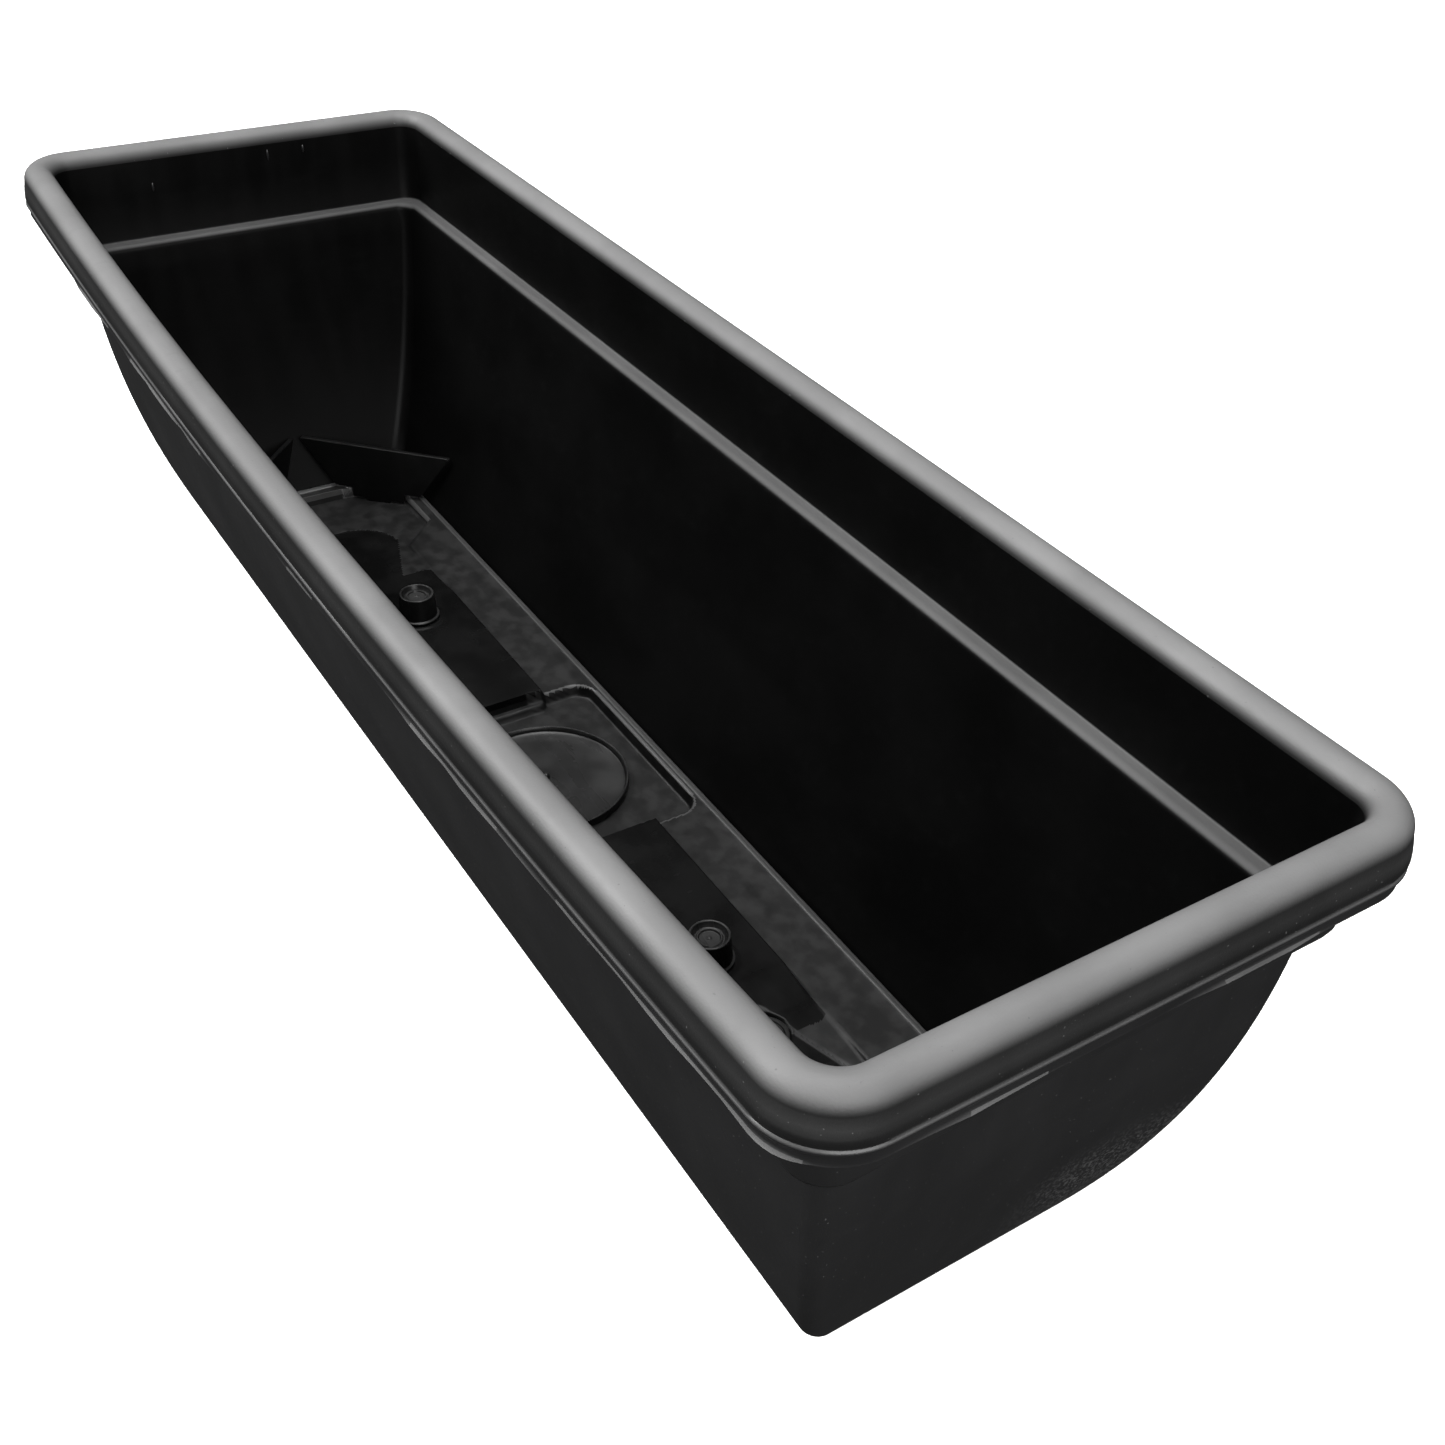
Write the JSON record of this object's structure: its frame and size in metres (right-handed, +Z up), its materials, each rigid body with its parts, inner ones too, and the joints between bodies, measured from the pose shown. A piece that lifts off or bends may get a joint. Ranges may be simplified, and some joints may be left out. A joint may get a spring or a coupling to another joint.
{
  "type": "self-watering planter",
  "caption": "Long open plant trough with a rolled rim and a lift-out false floor over a water reservoir, with corner watering wells and removable overflow plugs.",
  "frame": {"origin": "middle of the footprint, on the ground", "axes": "+X along the trough, +Y across it, +Z up"},
  "size_m": [0.6, 0.1966, 0.19],
  "materials": {
    "trough_plastic": "black moulded polypropylene, finely grained rim and satin walls",
    "floor_plastic": "black moulded polypropylene, satin",
    "fittings_plastic": "black moulded polypropylene, slightly glossy"
  },
  "bodies": {
    "trough": {"trough": "trough_plastic"},
    "false_floor": {"reservoir_plate": "floor_plastic"},
    "baffle_far_back": {"corner_baffle_far_back": "floor_plastic"},
    "baffle_far_front": {"corner_baffle_far_front": "floor_plastic"},
    "baffle_near_back": {"corner_baffle_near_back": "floor_plastic"},
    "baffle_near_front": {"corner_baffle_near_front": "floor_plastic"},
    "plug_far": {"overflow_plug_far": "fittings_plastic"},
    "plug_near": {"overflow_plug_near": "fittings_plastic"},
    "cap": {"reservoir_cap": "fittings_plastic"},
    "bung": {"drain_bung": "fittings_plastic"}
  },
  "joints": [
    {"name": "false_floor_lift", "type": "slide", "parent": "trough", "child": "false_floor", "axis": [0, 0, 1], "range_m": [0, 0.18]},
    {"name": "baffle_far_back_lift", "type": "slide", "parent": "false_floor", "child": "baffle_far_back", "axis": [0, 0, 1], "range_m": [0, 0.04]},
    {"name": "baffle_far_front_lift", "type": "slide", "parent": "false_floor", "child": "baffle_far_front", "axis": [0, 0, 1], "range_m": [0, 0.04]},
    {"name": "baffle_near_back_lift", "type": "slide", "parent": "false_floor", "child": "baffle_near_back", "axis": [0, 0, 1], "range_m": [0, 0.04]},
    {"name": "baffle_near_front_lift", "type": "slide", "parent": "false_floor", "child": "baffle_near_front", "axis": [0, 0, 1], "range_m": [0, 0.04]},
    {"name": "plug_far_pull", "type": "slide", "parent": "false_floor", "child": "plug_far", "axis": [0, 0, 1], "range_m": [0, 0.03]},
    {"name": "plug_near_pull", "type": "slide", "parent": "false_floor", "child": "plug_near", "axis": [0, 0, 1], "range_m": [0, 0.03]},
    {"name": "cap_pull", "type": "slide", "parent": "false_floor", "child": "cap", "axis": [0, 0, 1], "range_m": [0, 0.02]},
    {"name": "bung_pull", "type": "slide", "parent": "false_floor", "child": "bung", "axis": [0, 0, 1], "range_m": [0, 0.015]}
  ]
}
